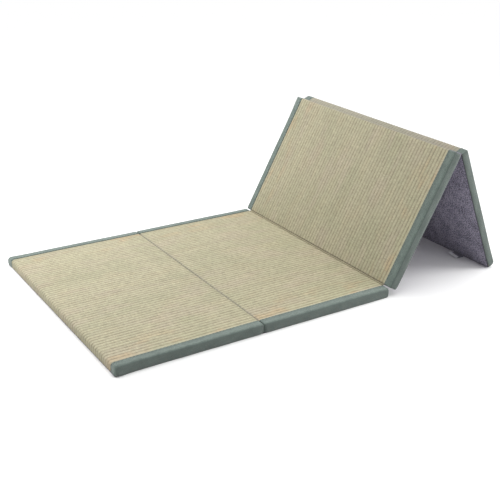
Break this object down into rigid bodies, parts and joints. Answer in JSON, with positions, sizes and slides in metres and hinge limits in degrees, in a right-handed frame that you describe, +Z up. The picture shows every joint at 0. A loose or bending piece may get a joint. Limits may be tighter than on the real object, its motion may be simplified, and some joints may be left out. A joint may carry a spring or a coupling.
{
  "type": "folding tatami mat",
  "caption": "Folding tatami mat of padded rush panels with cloth borders and felt backing, half lying open and half standing in a tent fold.",
  "frame": {"origin": "middle of the mat's footprint, on the floor", "axes": "+X along the mat from panel 1's free end to panel 4's foot, +Y across the mat away from the near side, +Z up"},
  "size_m": [1.503, 0.9, 0.4703],
  "materials": {
    "rush": "woven rush, matte with a faint sheen",
    "border_cloth": "plain woven green-grey cloth, matte",
    "felt": "mottled purple-grey needle felt, matte",
    "tape": "straw-coloured woven tape, matte",
    "label": "thin blank grey cloth with a pale folded end, satin"
  },
  "bodies": {
    "root": {"rush_pad_1": "rush", "rush_pad_2": "rush", "rush_pad_3": "rush", "rush_pad_4": "rush", "border_near_1": "border_cloth", "border_near_2": "border_cloth", "border_near_3": "border_cloth", "border_near_4": "border_cloth", "border_far_1": "border_cloth", "border_far_2": "border_cloth", "border_far_3": "border_cloth", "border_far_4": "border_cloth", "felt_back_1_2": "felt", "felt_back_3_4": "felt", "fold_tape_2_3": "tape", "label_loop": "label"}
  },
  "joints": []
}
